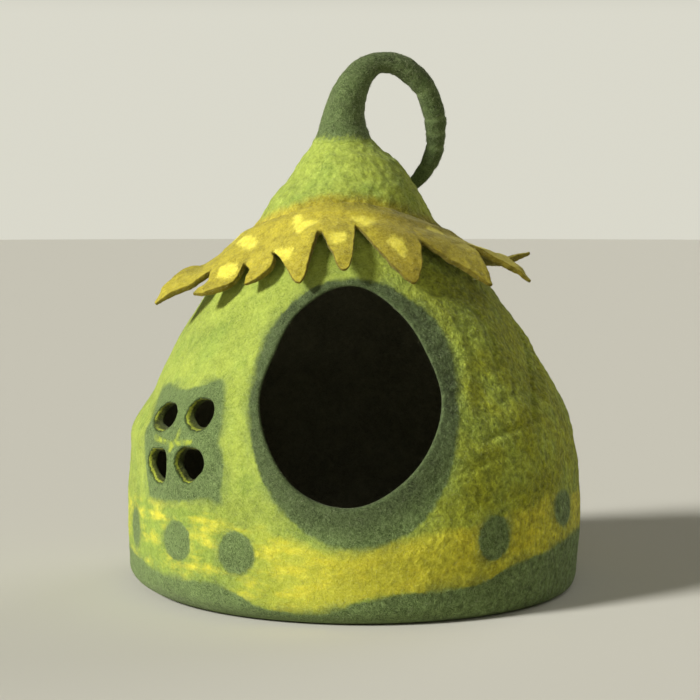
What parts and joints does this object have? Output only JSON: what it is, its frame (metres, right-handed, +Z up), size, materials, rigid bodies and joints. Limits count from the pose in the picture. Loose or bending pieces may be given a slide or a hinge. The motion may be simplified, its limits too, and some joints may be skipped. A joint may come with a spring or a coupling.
{
  "type": "felt cat cave",
  "caption": "Hollow gourd-shaped wool felt pet cave with a round doorway, small side windows, a leaf-cut collar and a curled stem on top.",
  "frame": {"origin": "centre of the flat floor's underside", "axes": "+Z up towards the stem, -Y out through the doorway, +X to the right of a viewer who faces the doorway"},
  "size_m": [0.4532, 0.4564, 0.5287],
  "materials": {
    "cave_wall": "matte",
    "leaf_collar": "matte",
    "curled_stem": "matte"
  },
  "bodies": {
    "root": {"cave_wall": "cave_wall", "leaf_collar": "leaf_collar", "curled_stem": "curled_stem"}
  },
  "joints": []
}
